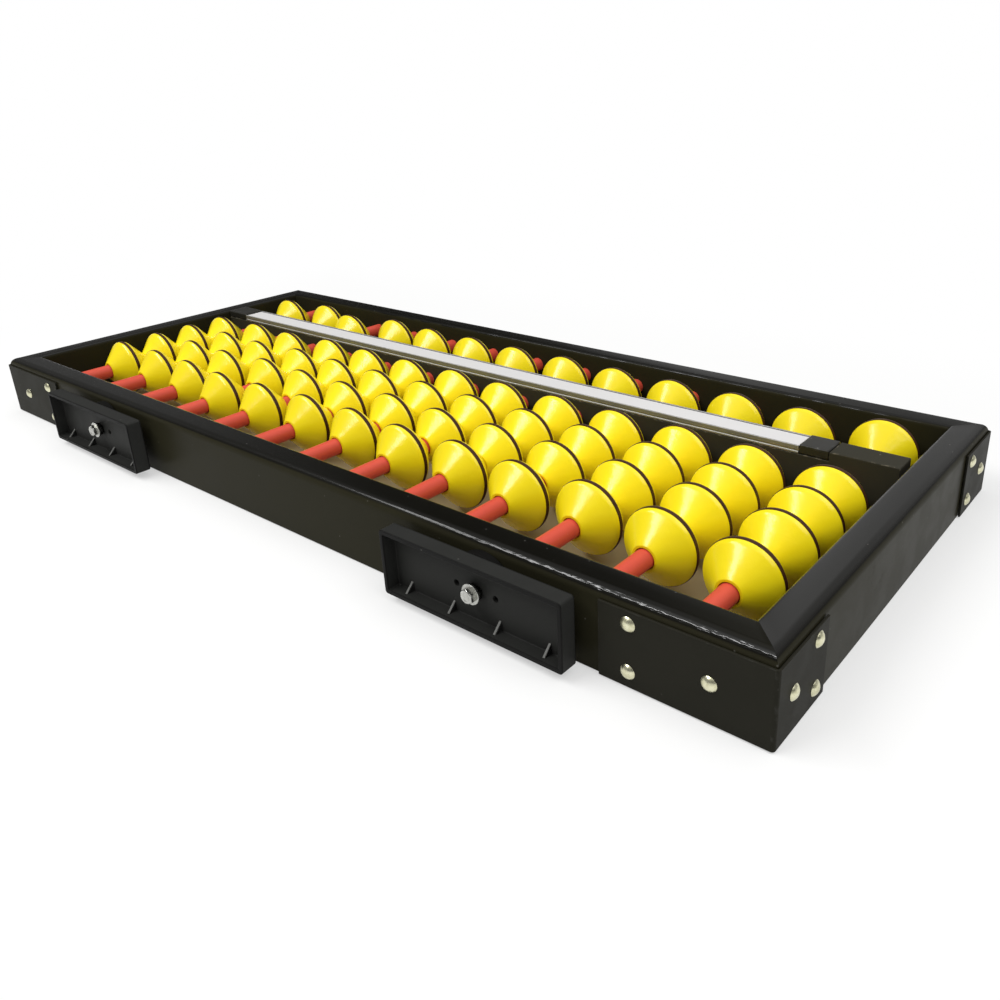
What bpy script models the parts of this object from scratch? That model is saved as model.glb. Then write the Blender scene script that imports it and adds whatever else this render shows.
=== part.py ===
"""A large demonstration abacus with thirteen rods and two swivel feet, in metres with +Z up.

It lies on its back. X runs along the long rails and Y from the user's side to the far side.
The origin is the middle of its footprint, feet included, on the surface that it lies on.
"""

import math

import bmesh
import bpy
from mathutils import Matrix

# Frame
frame_length = 0.580  # over the corner covers, along X
frame_depth = 0.2465  # over the corner covers, along Y
rail_height = 0.038
rail_width = 0.016
rail_outer_radius = 0.005  # top shoulder on the outside
rail_inner_radius = 0.0025  # top shoulder towards the beads
rail_foot_chamfer = 0.0007
shoulder_steps = 3
seat_gap = 0.0003  # between pieces that touch
overrun = 0.002  # how far a cutter or a joined shape runs past a face

# Rods
rod_count = 13
rod_radius = 0.0046
rod_socket_depth = 0.008
rod_sides = 8

# Beads
bead_thickness = 0.0265
bead_side_gap = 0.00417  # between the beads of neighbouring rods
bead_end_gap = 0.00718  # between the outermost beads and the side rails
bead_ground_gap = 0.0043  # under the beads
bead_bore_radius = 0.005
bead_tip_radius = 0.0062
bead_band_width = 0.0021
bead_sides = 10
cone_radius_share = 0.86  # where the straight cone meets the shoulder, from tip to rim
cone_height_share = 0.22  # how far out it stands there, from band to tip
trio_count = 3
lower_travel_share = 0.6453  # of all the travel that the beads have, the rest is the upper deck's

# Resting places of the beads, as shares of the slack in their deck, from the left rod to the right
beam_gap_shares = (0.23, 0.16, 0.18, 0.08, 0.11, 0.11, 0.08, 0.11, 0.11, 0.12, 0.12, 0.17, 0.21)
bead_gap_shares = (0.012, 0.024, 0.02, 0.18, 0.11, 0.04, 0.05, 0.06, 0.02, 0.05, 0.012, 0.05, 0.09)
upper_gap_shares = (0.52, 0.76, 0.32, 0.72, 0.60, 0.60, 0.56, 0.61, 0.56, 0.56, 0.56, 0.54, 0.85)

# Divider beam
beam_width = 0.0154
beam_bottom = 0.009
beam_top = 0.0377  # at its right end, which stands as high as the channel
beam_step_depth = 0.0047  # how much lower it is under the channel
beam_step_reach = 0.0357  # length of the full-height end
beam_end_relief = 0.0015  # how far its top stands off the right rail
beam_edge_radius = 0.0005
tenon_length = 0.004
tenon_width = 0.010
tenon_height = 0.016

# Label channel, its strip and the end blocks
left_block_length = 0.0226
right_block_length = 0.0152
block_width = 0.0152
left_block_height = 0.0047
right_block_height = 0.0049
block_edge_radius = 0.0007
channel_height = 0.0041
channel_base = 0.0009
channel_wall = 0.00085
channel_groove_depth = 0.0004
channel_groove_height = 0.0012
strip_thickness = 0.0025

# Corner covers
cover_thickness = 0.001
cover_height = 0.0331
cover_lift = 0.0005  # above the ground
cover_long_leg = 0.072
cover_short_leg = 0.040
cover_corner_radius = 0.0015
cover_corner_steps = 3
rivet_head_radius = 0.00325
rivet_head_height = 0.0016
rivet_shank_radius = 0.0016
rivet_shank_length = 0.008
rivet_sides = 8
rivet_top_height = 0.028
rivet_middle_height = 0.0173
rivet_bottom_height = 0.0073
long_leg_far_rivet = 0.0588  # from the frame's end
long_leg_near_rivet = 0.0252
short_leg_far_rivet = 0.0318  # from the frame's front or back
short_leg_near_rivet = 0.0133

# Feet
foot_length = 0.0985
foot_height = 0.0312
foot_depth = 0.0087
foot_wall = 0.002
foot_corner_radius = 0.0015
foot_corner_steps = 2
foot_right_inset = 0.1288  # from the frame's right end to the bolt
foot_left_inset = 0.139  # from the frame's left end to the bolt
foot_axis_height = 0.0192
gusset_thickness = 0.0011
gusset_leg = 0.0044  # along the wall that it props, and along the floor
gusset_inner_offset = 0.01275
gusset_outer_offset = 0.03825
foot_hole_radius = 0.0015
foot_hole_offset = 0.01075
foot_hole_sides = 6
spacer_radius = 0.0155  # it stays hidden behind its foot
spacer_thickness = 0.0044
spacer_sides = 16

# Swivel bolts, M3.5, with their washers
bolt_shank_radius = 0.00175
bolt_embed = 0.0065  # in the rail
bolt_running_clearance = 0.00006
bolt_sides = 12
bolt_head_flats = 0.006
bolt_head_height = 0.0026
bolt_head_sides = 6
washer_radius = 0.0047
washer_thickness = 0.0011
spring_washer_radius = 0.0039
spring_washer_bore = 0.0023
spring_washer_thickness = 0.0018
spring_washer_slit = 0.0008
spring_washer_steps = 10

# Places that follow from the sizes
rail_inset = cover_thickness + seat_gap
foot_back_reach = seat_gap + spacer_thickness + seat_gap
foot_reach = foot_back_reach + foot_depth - rail_inset  # how far a foot stands out past the covers
frame_middle_y = (foot_reach - rivet_head_height) / 2
front_face_y = frame_middle_y - frame_depth / 2 + rail_inset
back_face_y = frame_middle_y + frame_depth / 2 - rail_inset
side_face_x = frame_length / 2 - rail_inset
front_inner_y = front_face_y + rail_width
back_inner_y = back_face_y - rail_width
side_inner_x = side_face_x - rail_width
rod_pitch = (2 * side_inner_x - 2 * bead_end_gap + bead_side_gap) / rod_count
bead_radius = (rod_pitch - bead_side_gap) / 2
rod_height = bead_ground_gap + bead_radius
all_travel = back_inner_y - front_inner_y - beam_width - bead_thickness * (trio_count + 2)
lower_slack = all_travel * lower_travel_share
upper_slack = all_travel - lower_slack
beam_front_y = front_inner_y + bead_thickness * (trio_count + 1) + lower_slack
beam_middle_y = beam_front_y + beam_width / 2
beam_back_y = beam_front_y + beam_width
beam_end_x = side_inner_x - seat_gap
beam_step_x = beam_end_x - beam_step_reach
beam_seat_height = beam_top - beam_step_depth
channel_bottom = beam_seat_height + seat_gap
channel_left_x = -beam_end_x + left_block_length + seat_gap
right_block_end_x = beam_step_x - seat_gap
channel_right_x = right_block_end_x - right_block_length - seat_gap
tenon_middle_height = (beam_bottom + beam_seat_height) / 2
foot_back_y = front_face_y - foot_back_reach
spring_washer_back_y = foot_back_y - foot_wall - seat_gap
washer_back_y = spring_washer_back_y - spring_washer_thickness - seat_gap
bolt_head_back_y = washer_back_y - washer_thickness
foot_places = {"right": frame_length / 2 - foot_right_inset, "left": foot_left_inset - frame_length / 2}


def clear_scene():
    for thing in list(bpy.data.objects):
        bpy.data.objects.remove(thing)


def finish(name, colour, roughness, metallic=0.0):
    """A plain Principled material."""
    material = bpy.data.materials.new(name)
    material.use_nodes = True
    shader = material.node_tree.nodes["Principled BSDF"]
    shader.inputs["Base Color"].default_value = (*colour, 1)
    shader.inputs["Roughness"].default_value = roughness
    shader.inputs["Metallic"].default_value = metallic
    material.diffuse_color = (*colour, 1)
    return material


def make_mesh(name, shape, material):
    """Turns a bmesh into a mesh with smooth round faces and crisp edges."""
    bmesh.ops.recalc_face_normals(shape, faces=shape.faces)
    mesh = bpy.data.meshes.new(name)
    shape.to_mesh(mesh)
    shape.free()
    mesh.materials.append(material)
    mesh.shade_smooth()
    mesh.set_sharp_from_angle(angle=math.radians(38))
    return mesh


def add_object(name, mesh, place=(0, 0, 0), parent=None):
    thing = bpy.data.objects.new(name, mesh)
    thing.location = place
    thing.parent = parent
    bpy.context.scene.collection.objects.link(thing)
    return thing


def work(host, operation, name, shape, material):
    """Cuts a shape out of its host, or joins it to the host, by a Boolean."""
    tool = add_object(name, make_mesh(name, shape, material), host.location)
    tool.hide_render = True
    tool.display_type = "WIRE"
    step = host.modifiers.new(name, "BOOLEAN")
    step.operation = operation
    step.solver = "EXACT"
    step.material_mode = "TRANSFER"
    step.object = tool


def round_edges(host, radius):
    bevel = host.modifiers.new("edges", "BEVEL")
    bevel.width = radius
    bevel.segments = 1
    bevel.limit_method = "ANGLE"


def arc(middle, radius, start, end, steps):
    """Points along an arc, its angles in degrees."""
    angles = [math.radians(start + (end - start) * i / steps) for i in range(steps + 1)]
    return [(middle[0] + radius * math.cos(a), middle[1] + radius * math.sin(a)) for a in angles]


def rectangle(left, bottom, right, top):
    return [(left, bottom), (right, bottom), (right, top), (left, top)]


def rounded_rectangle(half_width, half_height, radius, steps):
    across, up = half_width - radius, half_height - radius
    points = arc((across, up), radius, 0, 90, steps) + arc((-across, up), radius, 90, 180, steps)
    points += arc((-across, -up), radius, 180, 270, steps) + arc((across, -up), radius, 270, 360, steps)
    return points


def around(radius, gap, sides):
    """Corner radius of a polygon whose flats clear a circle by a gap."""
    return (radius + gap) / math.cos(math.pi / sides)


def along_x(u, v, level):
    return (level, u, v)


def along_y(u, v, level):
    return (u, level, v)


def along_z(u, v, level):
    return (u, v, level)


def add_loft(shape, rings):
    """Skins a row of equal rings of points and caps its ends."""
    rings = [[shape.verts.new(point) for point in ring] for ring in rings]
    for one, other in zip(rings, rings[1:]):
        for i in range(len(one)):
            j = (i + 1) % len(one)
            shape.faces.new((one[i], one[j], other[j], other[i]))
    shape.faces.new(list(reversed(rings[0])))
    shape.faces.new(rings[-1])


def add_prism(shape, outline, place, low, high):
    """Extrudes an outline between two levels, which place(u, v, level) puts in space."""
    add_loft(shape, [[place(u, v, level) for u, v in outline] for level in (low, high)])


def add_turned(shape, profile, middle, sides):
    """Turns a profile of (radius, place) about a line along Y through middle, with flat ends."""
    rings = []
    for radius, level in profile:
        outline = arc(middle, radius, 90, 450, sides)[:-1]
        rings.append([along_y(u, v, level) for u, v in outline])
    add_loft(shape, rings)


def add_ring(shape, section, sides):
    """Turns a closed section of (radius, place) about the Y axis, as round a bore."""
    rings = []
    for radius, level in section:
        outline = arc((0, 0), radius, 90, 450, sides)[:-1]
        rings.append([shape.verts.new(along_y(u, v, level)) for u, v in outline])
    for one, other in zip(rings, rings[1:] + rings[:1]):
        for i in range(sides):
            j = (i + 1) % sides
            shape.faces.new((one[i], one[j], other[j], other[i]))


def rod_places():
    """X of each rod, from left to right."""
    first = -rod_pitch * (rod_count - 1) / 2
    return [first + rod_pitch * i for i in range(rod_count)]


def rivet_sites(end, side):
    """The six rivets of a corner: a point on the cover's outside, and the way out of it."""
    end_x = end * frame_length / 2
    side_y = frame_middle_y + side * frame_depth / 2
    far_x, near_x = end_x - end * long_leg_far_rivet, end_x - end * long_leg_near_rivet
    far_y, near_y = side_y - side * short_leg_far_rivet, side_y - side * short_leg_near_rivet
    sites = [((x, side_y, z), (0, side)) for x, z in (
        (far_x, rivet_top_height), (far_x, rivet_bottom_height), (near_x, rivet_middle_height))]
    sites += [((end_x, y, z), (end, 0)) for y, z in (
        (far_y, rivet_top_height), (far_y, rivet_bottom_height), (near_y, rivet_middle_height))]
    return sites


def add_rivets(shape, sites, profile):
    """Turns the same profile at each site, its +Y end pointing out of the wall."""
    for place, (out_x, out_y) in sites:
        rivet = bmesh.new()
        add_turned(rivet, profile, (0, 0), rivet_sides)
        turn = Matrix.Rotation(math.atan2(-out_x, out_y), 4, "Z")
        bmesh.ops.transform(rivet, matrix=Matrix.Translation(place) @ turn, verts=rivet.verts)
        twin = {vert: shape.verts.new(vert.co) for vert in rivet.verts}
        for face in rivet.faces:
            shape.faces.new([twin[vert] for vert in face.verts])
        rivet.free()


def add_rivet_holes(shape, sites):
    """What the rivets' shanks need in the rail behind the cover, blind, with room all round."""
    radius = around(rivet_shank_radius, seat_gap, rivet_sides)
    bottom = -cover_thickness - rivet_shank_length - seat_gap
    add_rivets(shape, sites, [(radius, bottom), (radius, 0)])


def rail_section():
    """Outline of a rail: distance in from its outer face, and height."""
    inner = (rail_width - rail_inner_radius, rail_height - rail_inner_radius)
    outer = (rail_outer_radius, rail_height - rail_outer_radius)
    points = [(0, rail_foot_chamfer), (rail_foot_chamfer, 0)]
    points += [(rail_width - rail_foot_chamfer, 0), (rail_width, rail_foot_chamfer)]
    points += arc(inner, rail_inner_radius, 0, 90, shoulder_steps)
    return points + arc(outer, rail_outer_radius, 90, 180, shoulder_steps)


def make_rail(name, half_length, place, material):
    """A rail with mitred ends; place(along, in from the outer face, height) puts it in space."""
    setback = seat_gap / math.sqrt(2)
    rings = []
    for side in (-1, 1):
        rings.append([
            place(side * (half_length - setback - inward), inward, height)
            for inward, height in rail_section()
        ])
    shape = bmesh.new()
    add_loft(shape, rings)
    return add_object(name, make_mesh(name, shape, material))


def add_rod_sockets(shape, inner_face_y, outward):
    bottom = inner_face_y + outward * rod_socket_depth
    mouth = inner_face_y - outward * overrun
    radius = around(rod_radius, seat_gap, rod_sides)
    for x in rod_places():
        add_turned(shape, [(radius, bottom), (radius, mouth)], (x, rod_height), rod_sides)


def make_long_rails(material):
    half_length = side_face_x
    front = make_rail(
        "front_rail", half_length, lambda u, v, z: (u, front_face_y + v, z), material)
    cuts = bmesh.new()
    add_rod_sockets(cuts, front_inner_y, -1)
    add_rivet_holes(cuts, [s for end in (-1, 1) for s in rivet_sites(end, -1) if s[1][1]])
    for x in foot_places.values():
        radius = around(bolt_shank_radius, seat_gap, bolt_sides)
        profile = [(radius, front_face_y + bolt_embed + seat_gap), (radius, front_face_y - overrun)]
        add_turned(cuts, profile, (x, foot_axis_height), bolt_sides)
    work(front, "DIFFERENCE", "front_rail_holes", cuts, material)

    back = make_rail(
        "back_rail", half_length, lambda u, v, z: (u, back_face_y - v, z), material)
    cuts = bmesh.new()
    add_rod_sockets(cuts, back_inner_y, 1)
    add_rivet_holes(cuts, [s for end in (-1, 1) for s in rivet_sites(end, 1) if s[1][1]])
    work(back, "DIFFERENCE", "back_rail_holes", cuts, material)


def add_tenon(shape, end, room):
    """A beam's tenon at one end, or with room round it the mortise that takes it."""
    root = end * (beam_end_x - overrun)
    tip = end * (beam_end_x + tenon_length + room)
    half_width = tenon_width / 2 + room
    half_height = tenon_height / 2 + room
    outline = rectangle(
        beam_middle_y - half_width, tenon_middle_height - half_height,
        beam_middle_y + half_width, tenon_middle_height + half_height)
    add_prism(shape, outline, along_x, min(root, tip), max(root, tip))


def make_side_rails(material):
    half_length = frame_depth / 2 - rail_inset
    for name, end in (("left_rail", -1), ("right_rail", 1)):
        rail = make_rail(
            name, half_length,
            lambda u, v, z, end=end: (end * (side_face_x - v), frame_middle_y + u, z), material)
        cuts = bmesh.new()
        add_tenon(cuts, end, seat_gap)
        add_rivet_holes(cuts, [s for side in (-1, 1) for s in rivet_sites(end, side) if s[1][0]])
        work(rail, "DIFFERENCE", name + "_holes", cuts, material)


def make_beam(material, rod_material):
    """The beam with the thirteen rods that it carries, each held tight where it passes through."""
    outline = [
        (-beam_end_x, beam_bottom), (beam_end_x, beam_bottom), (beam_end_x, beam_seat_height),
        (beam_end_x - beam_end_relief, beam_seat_height), (beam_end_x - beam_end_relief, beam_top),
        (beam_step_x, beam_top), (beam_step_x, beam_seat_height), (-beam_end_x, beam_seat_height),
    ]
    shape = bmesh.new()
    add_prism(shape, outline, along_y, beam_front_y, beam_back_y)
    beam = add_object("divider_beam", make_mesh("divider_beam", shape, material))
    round_edges(beam, beam_edge_radius)
    tenons = bmesh.new()
    for end in (-1, 1):
        add_tenon(tenons, end, 0)
    work(beam, "UNION", "beam_tenons", tenons, material)
    rods = bmesh.new()
    front_end = front_inner_y - rod_socket_depth + seat_gap
    back_end = back_inner_y + rod_socket_depth - seat_gap
    for x in rod_places():
        add_turned(rods, [(rod_radius, front_end), (rod_radius, back_end)], (x, rod_height), rod_sides)
    work(beam, "UNION", "rods", rods, rod_material)


def make_channel(material):
    """The grooved aluminium channel on the beam's step."""
    half = beam_width / 2
    low, high = channel_bottom, channel_bottom + channel_height
    floor = low + channel_base
    groove_top = floor + channel_groove_height
    right = [
        (half, low), (half, floor), (half - channel_groove_depth, floor),
        (half - channel_groove_depth, groove_top), (half, groove_top), (half, high),
        (half - channel_wall, high), (half - channel_wall, floor),
    ]
    outline = right + [(-across, height) for across, height in reversed(right)]
    shape = bmesh.new()
    outline = [(beam_middle_y + across, height) for across, height in outline]
    add_prism(shape, outline, along_x, channel_left_x, channel_right_x)
    add_object("label_channel", make_mesh("label_channel", shape, material))


def make_strip(material):
    half = beam_width / 2 - channel_wall - seat_gap
    low = channel_bottom + channel_base + seat_gap
    outline = rectangle(beam_middle_y - half, low, beam_middle_y + half, low + strip_thickness)
    shape = bmesh.new()
    add_prism(shape, outline, along_x, channel_left_x, channel_right_x)
    add_object("label_strip", make_mesh("label_strip", shape, material))


def make_end_block(name, left, right, height, material):
    half = block_width / 2
    outline = rectangle(beam_middle_y - half, channel_bottom, beam_middle_y + half, channel_bottom + height)
    shape = bmesh.new()
    add_prism(shape, outline, along_x, left, right)
    block = add_object(name, make_mesh(name, shape, material))
    round_edges(block, block_edge_radius)


def make_corner_cover(name, end, side, material, rivet_material):
    """An angle of sheet metal round a corner, with its six rivets."""
    outer, inner = cover_corner_radius, cover_corner_radius - cover_thickness
    middle = (outer, outer)
    outline = arc(middle, outer, 180, 270, cover_corner_steps)
    outline += [(cover_long_leg, 0), (cover_long_leg, cover_thickness)]
    outline += arc(middle, inner, 270, 180, cover_corner_steps)
    outline += [(cover_thickness, cover_short_leg), (0, cover_short_leg)]
    end_x = end * frame_length / 2
    side_y = frame_middle_y + side * frame_depth / 2
    outline = [(end_x - end * u, side_y - side * v) for u, v in outline]
    shape = bmesh.new()
    add_prism(shape, outline, along_z, cover_lift, cover_lift + cover_height)
    cover = add_object(name, make_mesh(name, shape, material))
    rivets = bmesh.new()
    inside = -cover_thickness / 2  # where the head's flange starts, within the sheet
    profile = [
        (rivet_shank_radius, -cover_thickness - rivet_shank_length), (rivet_shank_radius, inside),
        (rivet_head_radius, inside), (rivet_head_radius, rivet_head_height / 4),
        (rivet_head_radius * 2 / 3, rivet_head_height),
    ]
    add_rivets(rivets, rivet_sites(end, side), profile)
    work(cover, "UNION", name + "_rivets", rivets, rivet_material)


def foot_mesh(material):
    """A shallow tray open to the front, modelled about its bolt with its back at zero."""
    half_length, half_height = foot_length / 2, foot_height / 2
    outline = rounded_rectangle(half_length, half_height, foot_corner_radius, foot_corner_steps)
    shape = bmesh.new()
    add_prism(shape, outline, along_y, -foot_depth, 0)
    return make_mesh("foot", shape, material)


def foot_pocket():
    """The space inside a tray, from its floor out past its rim."""
    half_length = foot_length / 2 - foot_wall
    half_height = foot_height / 2 - foot_wall
    shape = bmesh.new()
    outline = rectangle(-half_length, -half_height, half_length, half_height)
    add_prism(shape, outline, along_y, -foot_depth - overrun, -foot_wall)
    return shape


def foot_gussets():
    """Eight triangular props between the tray's floor and its long walls."""
    shape = bmesh.new()
    wall = foot_height / 2 - foot_wall
    sunk = foot_wall / 2
    for up in (-1, 1):
        for offset in (-gusset_outer_offset, -gusset_inner_offset, gusset_inner_offset, gusset_outer_offset):
            outline = [
                (-foot_wall + sunk, up * (wall + sunk)),
                (-foot_wall + sunk, up * (wall - gusset_leg)),
                (-foot_wall, up * (wall - gusset_leg)),
                (-foot_wall - gusset_leg, up * wall),
                (-foot_wall - gusset_leg, up * (wall + sunk)),
            ]
            half = gusset_thickness / 2
            add_prism(shape, outline, along_x, offset - half, offset + half)
    return shape


def foot_holes():
    """The bolt's running hole through the floor, and the two small holes beside it."""
    shape = bmesh.new()
    running = around(bolt_shank_radius, bolt_running_clearance, bolt_sides)
    add_turned(shape, [(running, -foot_wall - overrun), (running, overrun)], (0, 0), bolt_sides)
    small = foot_hole_radius
    for offset in (-foot_hole_offset, foot_hole_offset):
        add_turned(shape, [(small, -foot_wall - overrun), (small, overrun)], (offset, 0), foot_hole_sides)
    return shape


def make_foot(side, x, material):
    """Places a tray with its origin on the bolt's axis."""
    name = "foot_" + side
    place = (x, foot_back_y, foot_axis_height)
    foot = add_object(name, foot_mesh(material), place)
    for operation, label, shape in (
        ("DIFFERENCE", "pocket", foot_pocket()),
        ("UNION", "gussets", foot_gussets()),
        ("DIFFERENCE", "holes", foot_holes()),
    ):
        work(foot, operation, name + "_" + label, shape, material)


def make_spacer(side, x, material):
    bore = around(bolt_shank_radius, seat_gap, spacer_sides)
    half = spacer_thickness / 2
    section = [(bore, -half), (spacer_radius, -half), (spacer_radius, half), (bore, half)]
    shape = bmesh.new()
    add_ring(shape, section, spacer_sides)
    name = "spacer_" + side
    add_object(name, make_mesh(name, shape, material), (x, front_face_y - seat_gap - half, foot_axis_height))


def make_bolt(side, x, material):
    """A hexagon-head bolt with its flat washer, reaching through foot and spacer into the rail."""
    profile = [
        (bolt_shank_radius, front_face_y + bolt_embed), (bolt_shank_radius, washer_back_y),
        (washer_radius, washer_back_y), (washer_radius, bolt_head_back_y),
    ]
    shape = bmesh.new()
    add_turned(shape, [(radius, y - foot_back_y) for radius, y in profile], (0, 0), bolt_sides)
    name = "pivot_bolt_" + side
    place = (x, foot_back_y, foot_axis_height)
    bolt = add_object(name, make_mesh(name, shape, material), place)
    head = bmesh.new()
    corner = bolt_head_flats / 2 / math.cos(math.pi / bolt_head_sides)
    inside = bolt_head_back_y + washer_thickness / 2 - foot_back_y  # within the washer
    front = bolt_head_back_y - bolt_head_height - foot_back_y
    add_turned(head, [(corner, inside), (corner, front)], (0, 0), bolt_head_sides)
    work(bolt, "UNION", name + "_head", head, material)


def make_spring_washer(side, x, material):
    """A split ring between the foot's floor and the flat washer."""
    slit = math.degrees(spring_washer_slit / 2 / spring_washer_radius)
    outline = arc((0, 0), spring_washer_radius, slit, 360 - slit, spring_washer_steps)
    outline += arc((0, 0), spring_washer_bore, 360 - slit, slit, spring_washer_steps)
    shape = bmesh.new()
    add_prism(shape, outline, along_y, -spring_washer_thickness, 0)
    name = "spring_washer_" + side
    add_object(name, make_mesh(name, shape, material), (x, spring_washer_back_y, foot_axis_height))


def bead_section(count):
    """Closed section of a row of beads tip to tip, as (radius, place), about its own middle."""
    half, band = bead_thickness / 2, bead_band_width / 2
    cone_radius = bead_tip_radius + (bead_radius - bead_tip_radius) * cone_radius_share
    cone = band + (half - band) * cone_height_share
    bead = [
        (bead_tip_radius, -half), (cone_radius, -cone), (bead_radius, -band),
        (bead_radius, band), (cone_radius, cone), (bead_tip_radius, half),
    ]
    section = []
    for i in range(count):
        middle = bead_thickness * (i - (count - 1) / 2)
        section += [(radius, middle + place) for radius, place in bead[min(i, 1):]]
    reach = half * count
    return section + [(bead_bore_radius, reach), (bead_bore_radius, -reach)]


def bead_mesh(name, count, material):
    shape = bmesh.new()
    add_ring(shape, bead_section(count), bead_sides)
    return make_mesh(name, shape, material)


def make_beads(material):
    """One bead above the beam on each rod, and below it a row of three with one more in front."""
    single = bead_mesh("bead", 1, material)
    trio = bead_mesh("bead_trio", trio_count, material)
    for i, x in enumerate(rod_places()):
        number = f"{i + 1:02d}"
        upper_y = beam_back_y + upper_slack * upper_gap_shares[i] + bead_thickness / 2
        add_object("upper_bead_" + number, single, (x, upper_y, rod_height))
        half_trio = bead_thickness * trio_count / 2
        trio_y = beam_front_y - lower_slack * beam_gap_shares[i] - half_trio
        carrier = add_object("lower_trio_" + number, trio, (x, trio_y, rod_height))
        to_front = half_trio + lower_slack * bead_gap_shares[i] + bead_thickness / 2
        add_object("front_bead_" + number, single, (0, -to_front, 0), carrier)


def main():
    clear_scene()
    film = finish("black_film", (0.012, 0.012, 0.013), 0.28)
    paint = finish("cover_paint", (0.011, 0.011, 0.012), 0.34)
    nickel = finish("rivet_nickel", (0.62, 0.56, 0.44), 0.25, 1.0)
    steel = finish("zinc_steel", (0.60, 0.60, 0.58), 0.22, 1.0)
    aluminium = finish("channel_aluminium", (0.62, 0.63, 0.65), 0.38, 1.0)
    white = finish("strip_white", (0.80, 0.81, 0.82), 0.35)
    block_black = finish("block_black", (0.012, 0.012, 0.013), 0.22)
    foot_black = finish("foot_black", (0.016, 0.016, 0.017), 0.50)
    red = finish("rod_red", (0.70, 0.035, 0.02), 0.38)
    yellow = finish("bead_yellow", (0.93, 0.62, 0.004), 0.18)

    make_long_rails(film)
    make_side_rails(film)
    make_beam(film, red)
    make_channel(aluminium)
    make_strip(white)
    make_end_block(
        "left_end_block", -beam_end_x, -beam_end_x + left_block_length, left_block_height, block_black)
    make_end_block(
        "right_end_block", right_block_end_x - right_block_length, right_block_end_x,
        right_block_height, block_black)
    for side_name, side in (("front", -1), ("back", 1)):
        for end_name, end in (("left", -1), ("right", 1)):
            make_corner_cover(f"corner_cover_{side_name}_{end_name}", end, side, paint, nickel)
    for side, x in foot_places.items():
        make_foot(side, x, foot_black)
        make_spacer(side, x, foot_black)
        make_bolt(side, x, steel)
        make_spring_washer(side, x, steel)
    make_beads(yellow)


main()
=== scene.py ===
import math

import bmesh
import bpy
import numpy as np
from mathutils import Matrix, Vector


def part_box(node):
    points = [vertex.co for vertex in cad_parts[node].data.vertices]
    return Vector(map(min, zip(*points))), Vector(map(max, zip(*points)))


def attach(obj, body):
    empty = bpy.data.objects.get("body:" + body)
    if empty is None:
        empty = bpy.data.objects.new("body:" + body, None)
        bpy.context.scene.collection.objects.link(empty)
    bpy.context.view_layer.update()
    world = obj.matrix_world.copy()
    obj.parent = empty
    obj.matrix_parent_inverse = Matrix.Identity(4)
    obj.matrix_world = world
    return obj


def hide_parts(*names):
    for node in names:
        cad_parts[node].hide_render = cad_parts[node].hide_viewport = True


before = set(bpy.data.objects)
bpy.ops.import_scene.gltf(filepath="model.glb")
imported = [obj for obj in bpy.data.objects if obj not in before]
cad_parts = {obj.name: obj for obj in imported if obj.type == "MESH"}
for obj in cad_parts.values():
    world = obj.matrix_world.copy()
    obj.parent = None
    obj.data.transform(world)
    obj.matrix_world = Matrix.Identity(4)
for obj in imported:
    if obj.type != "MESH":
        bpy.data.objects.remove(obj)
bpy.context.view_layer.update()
print("Frame loaded:", len(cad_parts), "nodes")

scene = bpy.context.scene
sharpDegrees = 38.0  # faces that meet at more than this keep a hard edge
noiseTable = (97, 89)  # rows and columns of random heights before the hills repeat


# Shapes: every new piece is one or more grids of points, rows x columns x 3, worked out as whole arrays

def arcPoints(centre, radius, start, end, steps):
    # centre + radius x (cos, sin) over evenly spaced angles, given in degrees
    angle = np.radians(np.linspace(start, end, steps + 1))
    return np.stack([centre[0] + radius * np.cos(angle), centre[1] + radius * np.sin(angle)], -1)


def roundedOutline(corners, radii, steps, support):
    # Each corner becomes an arc that touches both of its sides. The arc's centre lies on the corner's
    # bisector, radius / sin(half the corner) away. A support point on each side, a little past the arc,
    # keeps the flat between two arcs flat. Returns points, outward normals and edge marks.
    corners = np.asarray(corners, float)
    radii = np.broadcast_to(np.asarray(radii, float), len(corners))
    steps = np.broadcast_to(steps, len(corners))
    area = np.sum(corners[:, 0] * np.roll(corners[:, 1], -1) - np.roll(corners[:, 0], -1) * corners[:, 1])
    points, normals, marks = [], [], []
    for corner, before, after, radius, count in zip(
            corners, np.roll(corners, 1, 0), np.roll(corners, -1, 0), radii, steps):
        back = (before - corner) / np.linalg.norm(before - corner)
        ahead = (after - corner) / np.linalg.norm(after - corner)
        half = math.acos(np.clip(back @ ahead, -1, 1)) / 2
        reach = radius / math.tan(half)
        centre = corner + (back + ahead) / np.linalg.norm(back + ahead) * radius / math.sin(half)
        first = math.atan2(*(corner + back * reach - centre)[::-1])
        last = math.atan2(*(corner + ahead * reach - centre)[::-1])
        sweep = (last - first + math.pi) % (2 * math.pi) - math.pi
        angle = first + sweep * np.linspace(0, 1, count + 1)
        ray = np.stack([np.cos(angle), np.sin(angle)], -1)
        bulge = 1 if sweep * area > 0 else -1
        far = reach + support
        points += [corner + back * far, *(centre + radius * ray), corner + ahead * far]
        normals += [bulge * ray[0], *(bulge * ray), bulge * ray[-1]]
        marks += [0.0] + [1.0] * (count + 1) + [0.0]
    return np.array(points), np.array(normals), np.array(marks)


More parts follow.
